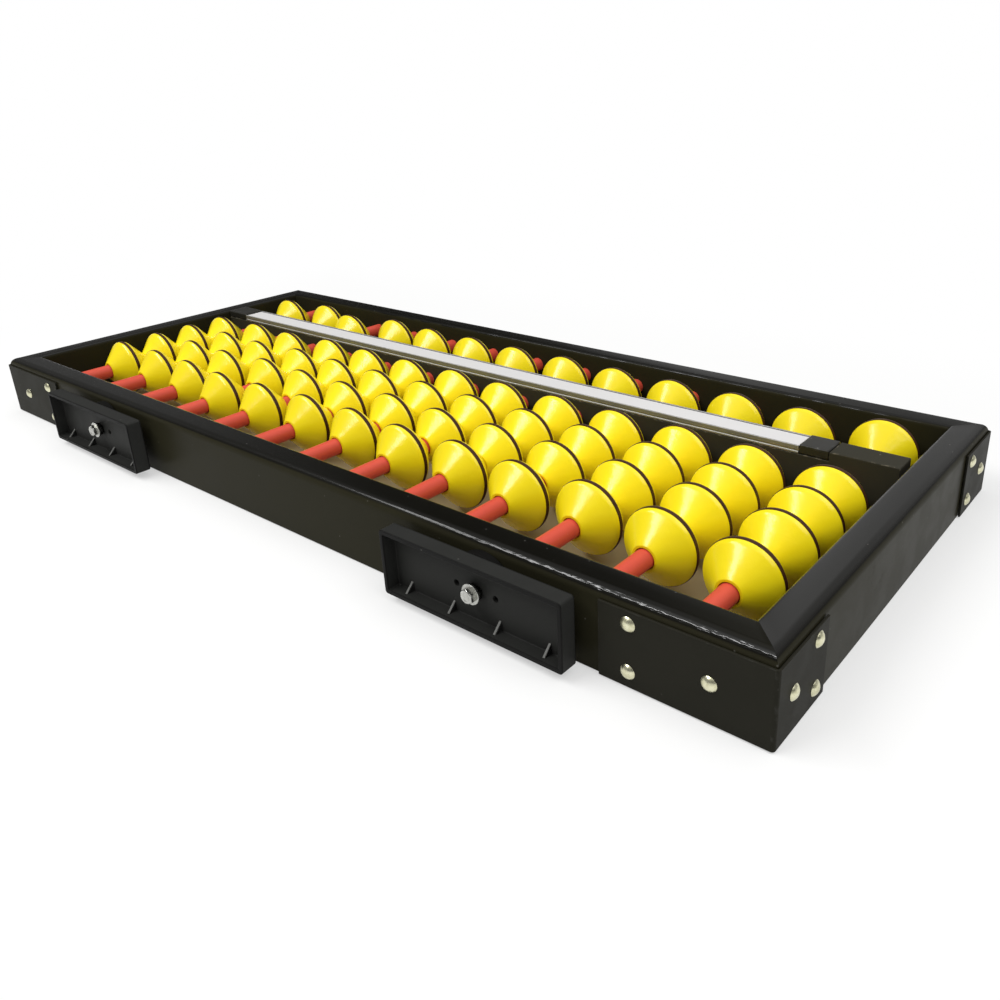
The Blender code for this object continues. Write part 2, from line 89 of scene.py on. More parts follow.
def barGrid(outline, place, start, end, edge, support, steps=3):
    # An outline carried from start to end. Near each end it draws in by edge x (1 - sin t) while it moves
    # edge x (1 - cos t), a quarter circle, and one more ring past the edge keeps the long sides flat.
    points, normals, marks = outline
    turn = np.linspace(0, math.pi / 2, steps + 1)
    inset = np.concatenate([edge * (1 - np.sin(turn)), [0.0]])
    along = np.concatenate([edge * (1 - np.cos(turn)), [edge + support]])
    mark = np.concatenate([np.ones(steps + 1), [0.0]])
    inset, mark = np.concatenate([inset, inset[::-1]]), np.concatenate([mark, mark[::-1]])
    along = np.concatenate([start + along, end - along[::-1]])
    flat = points[None] - normals[None] * inset[:, None, None]
    grid = place(flat[..., 0], flat[..., 1], np.broadcast_to(along[:, None], flat.shape[:2]))
    edges = np.maximum(mark[:, None], marks[None])
    edges[[0, -1]] = 0
    return {"points": closeColumns(grid), "edge": closeColumns(edges), "caps": True}


def turnedGrid(profile, place, steps, marks=None):
    # A profile of (radius, level) turned about its axis: (radius cos t, radius sin t, level)
    profile = np.asarray(profile, float)
    turn = np.linspace(0, 2 * math.pi, steps + 1)
    across = profile[:, :1] * np.cos(turn)
    up = profile[:, :1] * np.sin(turn)
    level = np.broadcast_to(profile[:, 1:], across.shape)
    edge = np.zeros(len(profile)) if marks is None else np.asarray(marks, float)
    return {"points": place(across, up, level), "edge": np.broadcast_to(edge[:, None], across.shape)}


def closeColumns(grid):
    return np.concatenate([grid, grid[:, :1]], 1)


def closeRows(profile):
    return np.concatenate([profile, profile[:1]], 0)


def alongX(across, up, along):
    return np.stack([along, across, up], -1)


def alongY(across, up, along):
    return np.stack([across, along, up], -1)


def alongZ(across, up, along):
    return np.stack([across, up, along], -1)


def aboutY(x, z):
    return lambda across, up, level: np.stack([x + across, level, z + up], -1)


def softNoise(u, v, seed):
    # Smooth random hills one unit apart: seeded heights at whole numbers, blended by 3t^2 - 2t^3
    rows, columns = noiseTable
    table = np.random.default_rng(seed).uniform(-1, 1, (rows, columns))
    row, column = np.floor(u).astype(int), np.floor(v).astype(int)
    s, t = u - row, v - column
    s, t = s * s * (3 - 2 * s), t * t * (3 - 2 * t)
    row, nextRow = row % rows, (row + 1) % rows
    column, nextColumn = column % columns, (column + 1) % columns
    low = table[row, column] * (1 - s) + table[nextRow, column] * s
    high = table[row, nextColumn] * (1 - s) + table[nextRow, nextColumn] * s
    return low * (1 - t) + high * t


def quadCorners(index):
    # The four corners of each quad, in order round it
    return np.stack([index[:-1, :-1], index[:-1, 1:], index[1:, 1:], index[1:, :-1]], -1).reshape(-1, 4)


def gridFaces(points, first):
    # Quads between neighbouring rows and columns. A last column on top of the first is the same column,
    # a last row on top of the first is the same row, and a row with no size is one pole.
    rows, columns = points.shape[:2]
    index = np.arange(rows * columns).reshape(rows, columns)
    if np.abs(points[:, -1] - points[:, 0]).max() < 1e-9:
        index[:, -1] = index[:, 0]
    if np.abs(points[-1] - points[0]).max() < 1e-9:
        index[-1] = index[0]
    for row in (0, -1):
        if np.ptp(points[row], axis=0).max() < 1e-9:
            index[row] = index[row, 0]
    quads, source = quadCorners(index), quadCorners(np.arange(rows * columns).reshape(rows, columns))
    topPole, lowPole = quads[:, 0] == quads[:, 1], quads[:, 2] == quads[:, 3]
    whole = ~(topPole | lowPole)
    faces = [(quads[chosen][:, corners], source[chosen][:, corners]) for chosen, corners in (
        (whole, [0, 1, 2, 3]), (topPole, [0, 2, 3]), (lowPole, [0, 1, 2]))]
    ends = [index[0, :-1], index[-1, :-1]]
    return [(face + first, origin + first) for face, origin in faces if len(face)], [e + first for e in ends]


def surfaceLengths(points):
    # UV map in metres: length over the surface along the rows, and along the columns
    down = np.linalg.norm(np.diff(points, axis=0), axis=-1)
    across = np.linalg.norm(np.diff(points, axis=1), axis=-1)
    u = np.concatenate([np.zeros((1, points.shape[1])), np.cumsum(down, 0)], 0)
    v = np.concatenate([np.zeros((points.shape[0], 1)), np.cumsum(across, 1)], 1)
    return np.stack([u, v], -1)


def addObject(name, data):
    added = bpy.data.objects.new(name, data)
    scene.collection.objects.link(added)
    return added


def makePiece(name, grids, material, body, standsFor=(), flats=True, extras=None):
    # Joins the grids, and any loose polygons given as extras, into one mesh that rides on a body. The
    # vertices keep their edge mark, 0 to 1, for the finish to read.
    allPoints, allUv, allEdge, faces, origins, first = [], [], [], [], [], 0
    for grid in grids:
        points = np.asarray(grid["points"], float)
        found, ends = gridFaces(points, first)
        for face, origin in found:
            faces += face.tolist()
            origins += origin.tolist()
        if grid.get("caps"):
            faces += [ends[0].tolist()[::-1], ends[1].tolist()]
            origins += [ends[0].tolist()[::-1], ends[1].tolist()]
        allPoints.append(points.reshape(-1, 3))
        allUv.append(grid.get("uv", surfaceLengths(points)).reshape(-1, 2))
        allEdge.append(np.broadcast_to(grid.get("edge", 0.0), points.shape[:2]).ravel())
        first += points.shape[0] * points.shape[1]
    for corners, polygons in extras or []:
        allPoints.append(corners)
        allUv.append(corners[:, [0, 2]])
        allEdge.append(np.zeros(len(corners)))
        faces += [[first + i for i in polygon] for polygon in polygons]
        origins += [[first + i for i in polygon] for polygon in polygons]
        first += len(corners)
    mesh = bpy.data.meshes.new(name)
    mesh.from_pydata(np.concatenate(allPoints), [], faces)
    uv = np.concatenate(allUv)[np.concatenate([np.asarray(o) for o in origins])]
    mesh.uv_layers.new(name="surface").data.foreach_set("uv", uv.astype(np.float32).ravel())
    marks = mesh.attributes.new("edge", "FLOAT", "POINT").data
    marks.foreach_set("value", np.concatenate(allEdge).astype(np.float32))
    shape = bmesh.new()
    shape.from_mesh(mesh)
    bmesh.ops.delete(shape, geom=[v for v in shape.verts if not v.link_faces], context="VERTS")
    if extras:
        bmesh.ops.remove_doubles(shape, verts=shape.verts, dist=1e-6)
    bmesh.ops.recalc_face_normals(shape, faces=shape.faces)
    shape.to_mesh(mesh)
    shape.free()
    mesh.materials.append(finish[material])
    mesh.shade_smooth()
    mesh.set_sharp_from_angle(angle=math.radians(sharpDegrees))
    piece = addObject(name, mesh)
    if flats:
        piece.modifiers.new("even flats", "WEIGHTED_NORMAL").keep_sharp = True
    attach(piece, body)
    if standsFor:
        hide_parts(*standsFor)


# Shader groups that several finishes share

def newGroup(name, inputs, outputs):
    group = bpy.data.node_groups.new(name, "ShaderNodeTree")
    for label, value in inputs.items():
        kind = "NodeSocketVector" if isinstance(value, tuple) else "NodeSocketFloat"
        group.interface.new_socket(label, in_out="INPUT", socket_type=kind).default_value = value
    for label in outputs:
        group.interface.new_socket(label, in_out="OUTPUT", socket_type="NodeSocketFloat")
    return group, group.nodes.new("NodeGroupInput"), group.nodes.new("NodeGroupOutput")


def addNode(tree, kind, inputs=None, **settings):
    node = tree.nodes.new(kind)
    for key, value in settings.items():
        setattr(node, key, value)
    for key, value in (inputs or {}).items():
        if isinstance(value, bpy.types.NodeSocket):
            tree.links.new(value, node.inputs[key])
        else:
            node.inputs[key].default_value = value
    return node


def maths(tree, operation, a, b=0.0):
    return addNode(tree, "ShaderNodeMath", {0: a, 1: b}, operation=operation).outputs[0]


def rangeOf(tree, value, fromLow, fromHigh, toLow, toHigh, shape="SMOOTHSTEP"):
    inputs = {"Value": value, "From Min": fromLow, "From Max": fromHigh, "To Min": toLow, "To Max": toHigh}
    return addNode(tree, "ShaderNodeMapRange", inputs, interpolation_type=shape).outputs[0]


def noise(tree, vector, scale, detail, roughness):
    inputs = {"Vector": vector, "Scale": scale, "Detail": detail, "Roughness": roughness}
    return addNode(tree, "ShaderNodeTexNoise", inputs).outputs[0]


def buildGrainGroup():
    # Fine and coarse noise over a stretched surface. Height, for a Bump node, is fine + coarseShare x coarse,
    # and Patches is the coarse noise with its contrast raised.
    group, given, result = newGroup("surface grain", {
        "Vector": (0, 0, 0), "Fine Scale": 900.0, "Coarse Scale": 60.0}, ["Height", "Patches"])
    vector, coarseShare = given.outputs["Vector"], 0.4
    fine = noise(group, vector, given.outputs["Fine Scale"], 3.0, 0.6)
    coarse = noise(group, vector, given.outputs["Coarse Scale"], 4.0, 0.55)
    height = maths(group, "ADD", fine, maths(group, "MULTIPLY", coarse, coarseShare))
    group.links.new(height, result.inputs["Height"])
    group.links.new(rangeOf(group, coarse, 0.3, 0.7, 0.0, 1.0), result.inputs["Patches"])
    return group


def buildWearGroup():
    # Worn Edge: the edge mark broken up by noise. Specks: sparse dust. Scuffs: thin crossed scratches.
    group, given, result = newGroup("wear and dust", {
        "Vector": (0, 0, 0), "Edge": 0.0, "Speck Scale": 260.0, "Scuff Scale": 34.0},
        ["Worn Edge", "Specks", "Scuffs"])
    vector, chipScale, scuffAngles = given.outputs["Vector"], 210.0, (24.0, -37.0)
    broken = rangeOf(group, noise(group, vector, chipScale, 5.0, 0.7), 0.50, 0.62, 0.0, 1.0)
    group.links.new(maths(group, "MULTIPLY", given.outputs["Edge"], broken), result.inputs["Worn Edge"])
    cells = addNode(group, "ShaderNodeTexVoronoi", {"Vector": vector, "Scale": given.outputs["Speck Scale"]})
    dots = rangeOf(group, cells.outputs["Distance"], 0.06, 0.13, 1.0, 0.0)
    pick = addNode(group, "ShaderNodeSeparateColor", {0: cells.outputs["Color"]}).outputs[0]
    few = rangeOf(group, pick, 0.86, 0.90, 0.0, 1.0)
    group.links.new(maths(group, "MULTIPLY", dots, few), result.inputs["Specks"])
    marks = []
    for angle in scuffAngles:
        turned = addNode(group, "ShaderNodeMapping", {
            "Vector": vector, "Rotation": (0.3, 0.2, math.radians(angle)), "Scale": (0.09, 1.0, 1.0)})
        lines = noise(group, turned.outputs[0], given.outputs["Scuff Scale"], 8.0, 0.75)
        marks.append(rangeOf(group, lines, 0.635, 0.66, 0.0, 1.0))
    group.links.new(maths(group, "MAXIMUM", *marks), result.inputs["Scuffs"])
    return group


grainGroup = buildGrainGroup()
wearGroup = buildWearGroup()


def newMaterial(name):
    material = bpy.data.materials.new(name)
    material.use_nodes = True
    return material, material.node_tree, material.node_tree.nodes["Principled BSDF"]


def newFinish(name, given):
    # A Principled material with its constants on the sockets, and the two groups wired to Object coordinates.
    # Roughness is low + (high - low) x patches + scuffRoughness x scuffs. A coat lies on marked edges only.
    values = {**plainFinish, "wearAndPaintedLight": given["colour"], **given}
    material, tree, shader = newMaterial(name)
    shader.inputs["Base Color"].default_value = (*values["colour"], 1)
    shader.inputs["Metallic"].default_value = values["metallic"]
    shader.inputs["Specular IOR Level"].default_value = values["specular"]
    place = addNode(tree, "ShaderNodeTexCoord").outputs["Object"]
    edge = addNode(tree, "ShaderNodeAttribute", attribute_name="edge").outputs["Fac"]
    stretched = addNode(tree, "ShaderNodeMapping", {"Vector": place, "Scale": values["stretch"]}).outputs[0]
    grain = addNode(tree, "ShaderNodeGroup", {
        "Vector": stretched, "Fine Scale": values["fineScale"], "Coarse Scale": values["coarseScale"]},
        node_tree=grainGroup)
    wear = addNode(tree, "ShaderNodeGroup", {
        "Vector": place, "Edge": edge, "Speck Scale": values["speckScale"],
        "Scuff Scale": values["scuffScale"]}, node_tree=wearGroup)
    patches = rangeOf(tree, grain.outputs["Patches"], 0.0, 1.0, *values["roughness"])
    scuffs = maths(tree, "MULTIPLY", wear.outputs["Scuffs"], values["scuffRoughness"])
    tree.links.new(maths(tree, "ADD", patches, scuffs), shader.inputs["Roughness"])
    if "edgeCoat" in values:
        shader.inputs["Coat Roughness"].default_value = values["coatRoughness"]
        tree.links.new(maths(tree, "MULTIPLY", edge, values["edgeCoat"]), shader.inputs["Coat Weight"])
    tree.links.new(colourOf(tree, values, grain, wear, edge), shader.inputs["Base Color"])
    bump = addNode(tree, "ShaderNodeBump", {
        "Height": grain.outputs["Height"], "Strength": values["bump"], "Distance": values["bumpDistance"]})
    tree.links.new(bump.outputs[0], shader.inputs["Normal"])
    return material


def colourOf(tree, values, grain, wear, edge):
    # The colour, towards the second one in patches, then towards the wear and painted light colour on marked
    # edges, then specks of dust.
    # paintedLightShare lays that colour over the whole marked area: painted shade on the rails' tops and the
    # feet's rims, painted highlight on the gussets' slopes and the channel's edges. wornShare wears only
    # chips of it.
    colour = mixColour(tree, grain.outputs["Patches"], values["colour"], values["second"])
    if "paintedLightShare" in values:
        wearAndPaintedLight = maths(tree, "MULTIPLY", edge, values["paintedLightShare"])
    else:
        wearAndPaintedLight = maths(tree, "MULTIPLY", wear.outputs["Worn Edge"], values["wornShare"])
    colour = mixColour(tree, wearAndPaintedLight, colour, values["wearAndPaintedLight"])
    dusty = maths(tree, "MULTIPLY", wear.outputs["Specks"], values["dustShare"])
    return mixColour(tree, dusty, colour, values["dust"])


def mixColour(tree, share, one, other):
    mix = addNode(tree, "ShaderNodeMix", {"Factor": share}, data_type="RGBA")
    for socket, value in ((6, one), (7, other)):
        if isinstance(value, bpy.types.NodeSocket):
            tree.links.new(value, mix.inputs[socket])
        else:
            mix.inputs[socket].default_value = (*value, 1)
    return mix.outputs[2]


plainFinish = dict(metallic=0.0, specular=0.5, stretch=(1, 1, 1), speckScale=260.0, scuffScale=34.0,
                   scuffRoughness=0.04, bumpDistance=0.0002, wornShare=0.0, dustShare=0.0,
                   dust=(0.6, 0.58, 0.54))  # what a finish has unless it says otherwise
finishes = {
    # The film's olive tint is a painted reflection of an olive-brown surround. Where the gloss mark lies, its
    # colour goes to the darker one, a painted shade on tops and shoulders.
    "rail film": dict(
        colour=(0.0205, 0.019, 0.0105), second=(0.022, 0.0204, 0.0113), roughness=(0.3, 0.36), edgeCoat=1.0,
        coatRoughness=0.13, specular=0.03, wearAndPaintedLight=(0.004, 0.0037, 0.0024), paintedLightShare=4.0, fineScale=1400,
        coarseScale=45.0, bump=0.04, dustShare=0.09),
    "beam film": dict(
        colour=(0.033, 0.031, 0.022), second=(0.035, 0.0328, 0.0234), roughness=(0.46, 0.52), specular=0.06,
        fineScale=1300, coarseScale=50.0, bump=0.08, wearAndPaintedLight=(0.16, 0.14, 0.1), wornShare=0.7, dustShare=0.2),
    "cover paint": dict(
        colour=(0.019, 0.0183, 0.0135), second=(0.0202, 0.0194, 0.0144), roughness=(0.4, 0.46), specular=0.03,
        fineScale=2300, coarseScale=70.0, bump=0.1, wearAndPaintedLight=(0.08, 0.08, 0.075), wornShare=0.2, dustShare=0.08),
    # The marked rim and back edge take the darker colour, a painted shade.
    "foot plastic": dict(
        colour=(0.0235, 0.0238, 0.0222), second=(0.0252, 0.0255, 0.0238), roughness=(0.44, 0.5),
        specular=0.06, fineScale=2600, coarseScale=80.0, bump=0.14, wearAndPaintedLight=(0.007, 0.007, 0.0066),
        paintedLightShare=0.9, dustShare=0.1),
    # The marked sloping front takes the light grey colour, a painted highlight.
    "gusset plastic": dict(
        colour=(0.022, 0.022, 0.021), second=(0.026, 0.026, 0.025), roughness=(0.36, 0.44), specular=0.2,
        fineScale=2600, coarseScale=300, bump=0.14, wearAndPaintedLight=(0.17, 0.17, 0.16), paintedLightShare=0.9),
    # Near black, darker than the other plastics, so that the sliver seen above the foot reads as the dark
    # gap: a painted shade.
    "spacer painted-shade plastic": dict(
        colour=(0.006, 0.0058, 0.0052), second=(0.0068, 0.0066, 0.0059), roughness=(0.5, 0.6), specular=0.03,
        fineScale=2400, coarseScale=80.0, bump=0.1),
    "block plastic": dict(
        colour=(0.0185, 0.0178, 0.0145), second=(0.02, 0.0192, 0.0157), roughness=(0.28, 0.36), specular=0.3,
        fineScale=2200, coarseScale=90.0, bump=0.06, wearAndPaintedLight=(0.06, 0.06, 0.06), wornShare=0.4, dustShare=0.2),
    "bead plastic": dict(
        colour=(0.97, 0.79, 0.011), second=(0.96, 0.758, 0.009), roughness=(0.19, 0.24), specular=0.36,
        fineScale=170, coarseScale=60.0, bump=0.3, bumpDistance=0.0005, dustShare=0.03, scuffScale=60.0,
        scuffRoughness=0.03),
    "band inlay": dict(
        colour=(0.042, 0.015, 0.0055), second=(0.054, 0.0195, 0.0075), roughness=(0.34, 0.44), specular=0.2,
        fineScale=1500, coarseScale=120, bump=0.08),
    "rod plastic": dict(
        colour=(0.66, 0.083, 0.05), second=(0.62, 0.073, 0.042), roughness=(0.38, 0.44),
        stretch=(1.0, 0.08, 1.0), specular=0.32, fineScale=900, coarseScale=110, bump=0.08, dustShare=0.06),
    # Its marked rounded edges take the pale colour, a painted highlight.
    "channel aluminium": dict(
        colour=(0.23, 0.23, 0.225), second=(0.19, 0.19, 0.186), metallic=0.55, roughness=(0.5, 0.58),
        stretch=(0.03, 1.0, 1.0), fineScale=2600, coarseScale=260, bump=0.16, wearAndPaintedLight=(0.62, 0.62, 0.62),
        paintedLightShare=0.9),
    "strip plastic": dict(
        colour=(0.7, 0.69, 0.685), second=(0.675, 0.665, 0.66), roughness=(0.34, 0.42), specular=0.35,
        fineScale=800, coarseScale=30.0, bump=0.03, dustShare=0.2, dust=(0.35, 0.34, 0.32)),
    "rivet metal": dict(
        colour=(0.78, 0.76, 0.55), second=(0.62, 0.6, 0.4), metallic=1.0, roughness=(0.24, 0.34),
        fineScale=1500, coarseScale=520, bump=0.24, dustShare=0.3, speckScale=700, dust=(0.12, 0.1, 0.06)),
    "bolt steel": dict(
        colour=(0.52, 0.52, 0.49), second=(0.42, 0.42, 0.39), metallic=1.0, roughness=(0.22, 0.34),
        fineScale=1800, coarseScale=500, bump=0.2, wearAndPaintedLight=(0.85, 0.85, 0.82), wornShare=0.8, dustShare=0.2),
    "spring steel": dict(
        colour=(0.085, 0.085, 0.08), second=(0.06, 0.06, 0.056), metallic=1.0, roughness=(0.22, 0.32),
        fineScale=1900, coarseScale=600, bump=0.15, wearAndPaintedLight=(0.6, 0.6, 0.58), wornShare=0.6),
}

finish = {name: newFinish(name, values) for name, values in finishes.items()}
print("Finishes made")


# Rails: a rounded section with mitred ends, under a film that folds over the front rail's outer shoulder

rail = dict(outerRadius=0.005, innerRadius=0.0025, footRadius=0.0007, flatStep=0.004, swellHeight=0.00005,
            swellLength=0.045, swellWidth=0.012, fadeLength=0.002, mitreClose=0.00018, glossEdge=55.0,
            glossFull=30.0, innerGloss=0.8, innerLean=-45.0, innerSpread=14.0, innerPatch=0.007)
# The film's gloss at four places along each rail, which also sets where its colour is darkened as painted
# shade
shine = dict(front_rail=(1.0, 1.0, 0.40, 0.20), right_rail=(1.0, 1.0, 1.0, 1.0),
             back_rail=(0.38, 0.38, 0.38, 0.38), left_rail=(0.6, 0.6, 0.6, 0.6))
folds = dict(lean=43.0, height=0.00007, width=0.00038, start=0.36, full=0.80, wobble=0.00014,
             wobbleLength=0.017, fineWobble=0.6, fineLength=0.005, breakLength=0.0045, breakWidth=0.01,
             upperLean=29.0, upperHeight=0.00006, upperWidth=0.00018, upperStart=0.30, upperGrowth=1.6,
             upperLength=0.012, upperWobble=2.5, creaseHeight=0.00014, creaseLength=0.0028,
             creaseWidth=0.0007, creaseSlant=2.2, creaseSpread=16.0, glossLean=42.0, glossWidth=13.0)


def railOutline(width, height, shoulderSteps):
    # The section seen from the rail's end: distance in from its outer face, and height, its flats cut into
    # steps. Lean is each point's tilt away from straight up: 0 on top, 90 degrees on the outer face.
    corners = [(0, 0), (width, 0), (width, height), (0, height)]
    radii = [rail["footRadius"], rail["footRadius"], rail["innerRadius"], rail["outerRadius"]]
    points, normals, _ = roundedOutline(corners, radii, [3, 3, 8, shoulderSteps], 0.0)
    ring, sides = closeRows(points), closeRows(normals)
    lengths = np.concatenate([[0], np.cumsum(np.linalg.norm(np.diff(ring, axis=0), axis=-1))])
    keep = np.concatenate([[True], np.diff(lengths) > 1e-9])
    lengths, ring, sides = lengths[keep], ring[keep], sides[keep]
    counts = np.maximum(1, np.round(np.diff(lengths) / rail["flatStep"]).astype(int))
    fine = np.concatenate([[0.0], *(np.linspace(low, high, count + 1)[1:]
                                    for low, high, count in zip(lengths[:-1], lengths[1:], counts))])
    points = np.stack([np.interp(fine, lengths, ring[:, i]) for i in (0, 1)], -1)
    normals = np.stack([np.interp(fine, lengths, sides[:, i]) for i in (0, 1)], -1)
    normals /= np.linalg.norm(normals, axis=-1, keepdims=True)
    return points, normals, fine, np.degrees(np.arctan2(-normals[:, 0], normals[:, 1]))


def filmFolds(along, lean, share, seed):
    # A fold is a ridge, height x exp(-(distance / width)^2), about a line that wobbles on its way along the
    # rail. Noise breaks it up. It swells towards the rail's right end, where a finer fold lies above it, with
    # short slanting creases, height x (1 - |noise|)^6. Gloss is how far the stretched film shines there.
    # The gloss also darkens the film's colour there, a painted shade.
    around = np.radians(lean) * rail["outerRadius"]
    still = 0 * around
    fine = folds["fineWobble"] * softNoise(along / folds["fineLength"], still, seed + 1)
    wobble = folds["wobble"] * (softNoise(along / folds["wobbleLength"], still, seed) + fine)
    patches = softNoise(along / folds["breakLength"], around / folds["breakWidth"], seed + 2)
    broken = np.clip(0.75 + patches, 0.1, 1.2)
    growth = np.clip((share - folds["start"]) / (folds["full"] - folds["start"]), 0.0, 1.0)
    line = (around - math.radians(folds["lean"]) * rail["outerRadius"] - wobble) / folds["width"]
    push = folds["height"] * growth * broken * np.exp(-line ** 2)
    upper = np.clip(folds["upperGrowth"] * (share - folds["upperStart"]), 0, 1)
    upper = upper * np.clip(softNoise(along / folds["upperLength"], still, seed + 3) + 0.7, 0, 1)
    above = around - math.radians(folds["upperLean"]) * rail["outerRadius"]
    line = (above - folds["upperWobble"] * wobble) / folds["upperWidth"]
    push = push + folds["upperHeight"] * upper * np.exp(-line ** 2)
    slant = (along + folds["creaseSlant"] * around) / folds["creaseLength"]
    crease = (1 - np.abs(softNoise(slant, around / folds["creaseWidth"], seed + 4))) ** 6
    within = np.exp(-((lean - folds["glossLean"]) / folds["creaseSpread"]) ** 2) * growth
    gloss = np.exp(-((lean - folds["glossLean"]) / folds["glossWidth"]) ** 2) * growth
    return push + folds["creaseHeight"] * crease * within, gloss


def makeRail(name, direction, outward, shoulderSteps, step, seed):
    # Each point lies at share x (half length - distance in), so that every end is cut at 45 degrees. The edge
    # mark carries the gloss: shine on the flats and the shoulders, and a broken line inside the back rail.
    # The same mark turns the film's colour darker there, a painted shade on tops, shoulders and that line.
    low, high = (np.array(corner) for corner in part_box(name))
    axis = 0 if direction == "x" else 1
    width, height = (high - low)[1 - axis], high[2]
    outer = high[1 - axis] if outward > 0 else low[1 - axis]
    middle, half = (low[axis] + high[axis]) / 2, (high[axis] - low[axis]) / 2 + rail["mitreClose"]
    points, normals, around, lean = railOutline(width, height, shoulderSteps)
    count = round(2 * half / step)
    share = np.linspace(-1, 1, count + 1)[:, None]
    inward = np.broadcast_to(points[:, 0], (count + 1, len(points)))
    along = share * (half - inward)
    near = np.clip((1 - np.abs(share)) * half / rail["fadeLength"], 0, 1)
    beside = np.broadcast_to(around, along.shape)
    swell = softNoise(along / rail["swellLength"], beside / rail["swellWidth"], seed)
    push = rail["swellHeight"] * (swell - 1)
    flat = np.clip((rail["glossEdge"] - np.abs(lean)) / (rail["glossEdge"] - rail["glossFull"]), 0, 1)
    gloss = np.interp(share, np.linspace(-1, 1, 4), shine[name]) * flat
    if name == "front_rail":
        folded, glossy = filmFolds(along, np.broadcast_to(lean, along.shape), share, seed)
        push, gloss = push + folded, np.maximum(gloss, glossy)
    if name == "back_rail":
        broken = np.clip(softNoise(along / rail["innerPatch"], 0 * along, seed + 9), 0, 1)
        inner = np.exp(-((lean - rail["innerLean"]) / rail["innerSpread"]) ** 2)
        gloss = np.maximum(gloss, rail["innerGloss"] * broken * inner)
    inward = inward + normals[:, 0] * push * near
    level = points[:, 1] + normals[:, 1] * push * near
    across = outer - outward * inward
    grid = alongX(across, level, middle + along) if axis == 0 else alongY(across, level, middle + along)
    uv = np.stack([along, beside], -1)
    makePiece(name + "_film", [{"points": grid, "uv": uv, "edge": gloss, "caps": True}], "rail film", "frame",
              [name], flats=False)


# Name, direction, side, steps round the outer shoulder, spacing along the rail, seed
for railPlan in (("front_rail", "x", -1, 40, 0.00062, 11), ("back_rail", "x", 1, 14, 0.003, 23),
                 ("left_rail", "y", -1, 14, 0.003, 37), ("right_rail", "y", 1, 14, 0.003, 51)):
    makeRail(*railPlan)
print("Rails made")


# Divider beam with its raised right end, the channel, the strip and the end blocks

beam = dict(bottom=0.009, top=0.0377, stepReach=0.0357, endRelief=0.0015, edge=0.0005, gap=0.0003,
            support=0.0006)
sideGap = beam["gap"]
leftInner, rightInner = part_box("left_rail")[1].x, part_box("right_rail")[0].x
channelLow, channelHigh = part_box("label_channel")
seatHeight = channelLow.z - sideGap


def makeBeam():
    # Seen from the front it is a long bar with a step near its right end, carried through from front to back
    left, right = leftInner + sideGap, rightInner - sideGap
    step, relief = right - beam["stepReach"], right - beam["endRelief"]
    corners = [(left, beam["bottom"]), (right, beam["bottom"]), (right, seatHeight), (relief, seatHeight),
               (relief, beam["top"]), (step, beam["top"]), (step, seatHeight), (left, seatHeight)]
    outline = roundedOutline(corners, beam["edge"], 3, beam["support"])
    grid = barGrid(outline, alongY, channelLow.y, channelHigh.y, beam["edge"] * 0.95, beam["support"])
    makePiece("divider_beam_film", [grid], "beam film", "frame", ["divider_beam"])


channel = dict(base=0.0009, wall=0.00085, grooveDepth=0.0004, grooveHeight=0.0012, edge=0.00014)


def makeChannel():
    # A U section with a groove along each outer side, carried along the beam
    middle, half = (channelLow.y + channelHigh.y) / 2, (channelHigh.y - channelLow.y) / 2
    low, high = channelLow.z, channelHigh.z
    floor = low + channel["base"]
    groove = floor + channel["grooveHeight"]
    inset, inner = half - channel["grooveDepth"], half - channel["wall"]
    side = np.array([(half, low), (half, floor), (inset, floor), (inset, groove), (half, groove),
                     (half, high), (inner, high), (inner, floor)])
    corners = np.concatenate([side, side[::-1] * (-1, 1)]) + (middle, 0)
    outline = roundedOutline(corners, channel["edge"], 3, 0.00004)
    grid = barGrid(outline, alongX, channelLow.x, channelHigh.x, channel["edge"] * 0.9, 0.00002)
    # The rounded edges are marked, and their colour is lightened there as a painted highlight.
    makePiece("label_channel_metal", [grid], "channel aluminium", "frame",
              ["label_channel"])


def makeRoundedBar(node, name, edge, support, material):
    low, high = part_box(node)
    corners = [(low.y, low.z), (high.y, low.z), (high.y, high.z), (low.y, high.z)]
    grid = barGrid(roundedOutline(corners, edge, 4, support), alongX, low.x, high.x, edge * 0.95, support)
    makePiece(name, [grid], material, "frame", [node])


makeBeam()
makeChannel()
makeRoundedBar("label_strip", "label_strip_blank", 0.0003, 0.0006, "strip plastic")
for block in ("left_end_block", "right_end_block"):
    makeRoundedBar(block, block + "_cap", 0.0007, 0.001, "block plastic")
print("Beam and channel made")


# Rods and beads

beads = dict(thickness=0.0265, bore=0.005, tipRadius=0.0062, tipEdge=0.00025, shoulder=0.006, rimLean=23.0,
             rimSink=0.0003, rimEdge=0.00015, band=0.0021, bandSink=0.00015, grooveDepth=0.0008, around=72,
             rodRadius=0.0046, rodAround=40)


def nodeAxis(node):
    # Middle in X and Z, and half the height, of a round piece that lies along Y
    low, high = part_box(node)
    return (low.x + high.x) / 2, (low.z + high.z) / 2, (high.z - low.z) / 2


rodNames = ["%02d" % (i + 1) for i in range(13)]


def makeRods():
    low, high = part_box("divider_beam")
    radius = beads["rodRadius"]
    levels = np.linspace(low.y, high.y, 25)
    profile = [(0, low.y), *((radius, level) for level in levels), (0, high.y)]
    for number in rodNames:
        x, z, _ = nodeAxis("upper_bead_" + number)
        grid = turnedGrid(profile, aboutY(x, z), beads["rodAround"])
        makePiece("red_rod_" + number, [grid], "rod plastic", "frame")


